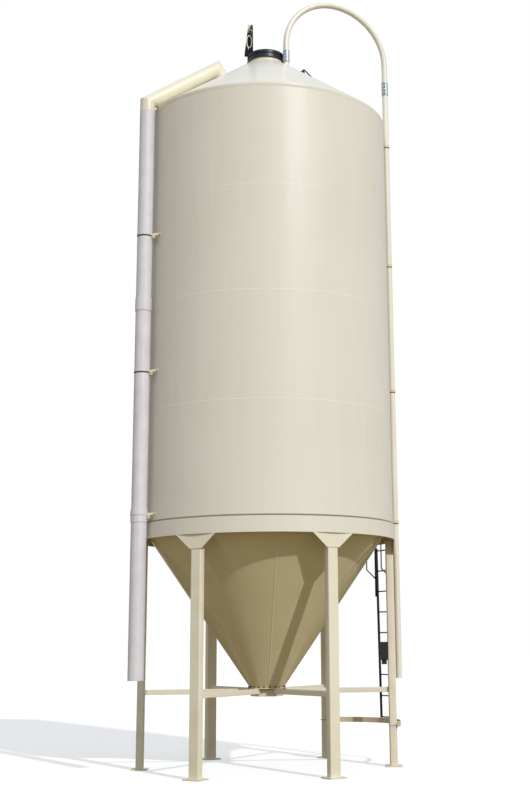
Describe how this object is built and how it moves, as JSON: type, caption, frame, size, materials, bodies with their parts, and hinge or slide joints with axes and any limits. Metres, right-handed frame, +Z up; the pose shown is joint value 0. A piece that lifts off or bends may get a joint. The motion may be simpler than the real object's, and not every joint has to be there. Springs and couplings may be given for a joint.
{
  "type": "feed bin",
  "caption": "Tall round feed bin on legs: smooth ringed wall, conical roof with open lid, steep hopper, vent pipe, gooseneck filling pipe and ladder.",
  "frame": {"origin": "on the ground, at the middle of the part's footprint box, 0.042 m from the bin's axis", "axes": "+Z up along the bin's axis, +X towards the filling pipe's side, the picture taken from -Y"},
  "size_m": [3.8532, 3.702, 11.7145],
  "materials": {
    "cream_paint": "satin paint",
    "grey_pipe": "weathered",
    "black_paint": "satin paint",
    "zinc": "galvanised",
    "black_plastic": "moulded"
  },
  "bodies": {
    "bin": {"wall_course_1": "cream_paint", "wall_course_2": "cream_paint", "wall_course_3": "cream_paint", "wall_course_4": "cream_paint", "ring_band": "cream_paint", "roof_cone": "cream_paint", "fill_neck": "cream_paint", "hopper_cone": "cream_paint", "outlet_flange": "cream_paint", "brace_hub": "cream_paint", "leg_1": "cream_paint", "leg_2": "cream_paint", "leg_3": "cream_paint", "leg_4": "cream_paint", "leg_5": "cream_paint", "leg_6": "cream_paint", "brace_1": "cream_paint", "brace_2": "cream_paint", "brace_3": "cream_paint", "brace_4": "cream_paint", "brace_5": "cream_paint", "brace_6": "cream_paint", "vent_elbow": "cream_paint", "vent_run": "cream_paint", "vent_rest": "cream_paint", "vent_strap_1": "cream_paint", "vent_strap_2": "cream_paint", "vent_strap_3": "cream_paint", "gooseneck": "cream_paint", "fill_pipe": "cream_paint", "fill_stub": "cream_paint", "fill_clamp_1": "cream_paint", "fill_clamp_2": "cream_paint", "fill_clamp_3": "cream_paint", "fill_clamp_4": "cream_paint", "ladder_bar": "cream_paint", "vent_pipe": "grey_pipe", "vent_coupler_1": "grey_pipe", "vent_coupler_2": "grey_pipe", "collar_ring": "black_paint", "lid_bracket": "black_paint", "wall_ladder": "black_paint", "low_ladder": "black_paint", "roof_handrail": "black_paint", "fill_coupling_1": "zinc", "fill_coupling_2": "zinc", "bar_strap_1": "zinc", "bar_strap_2": "zinc", "black_box": "black_plastic"},
    "lid": {"lid": "black_paint", "lid_arm": "black_paint"}
  },
  "joints": [
    {"name": "lid_hinge", "type": "hinge", "parent": "bin", "child": "lid", "pos_m": [-0.26704, 0, 10.73522], "axis": [0, 1, 0], "range_deg": [0, 90]}
  ]
}
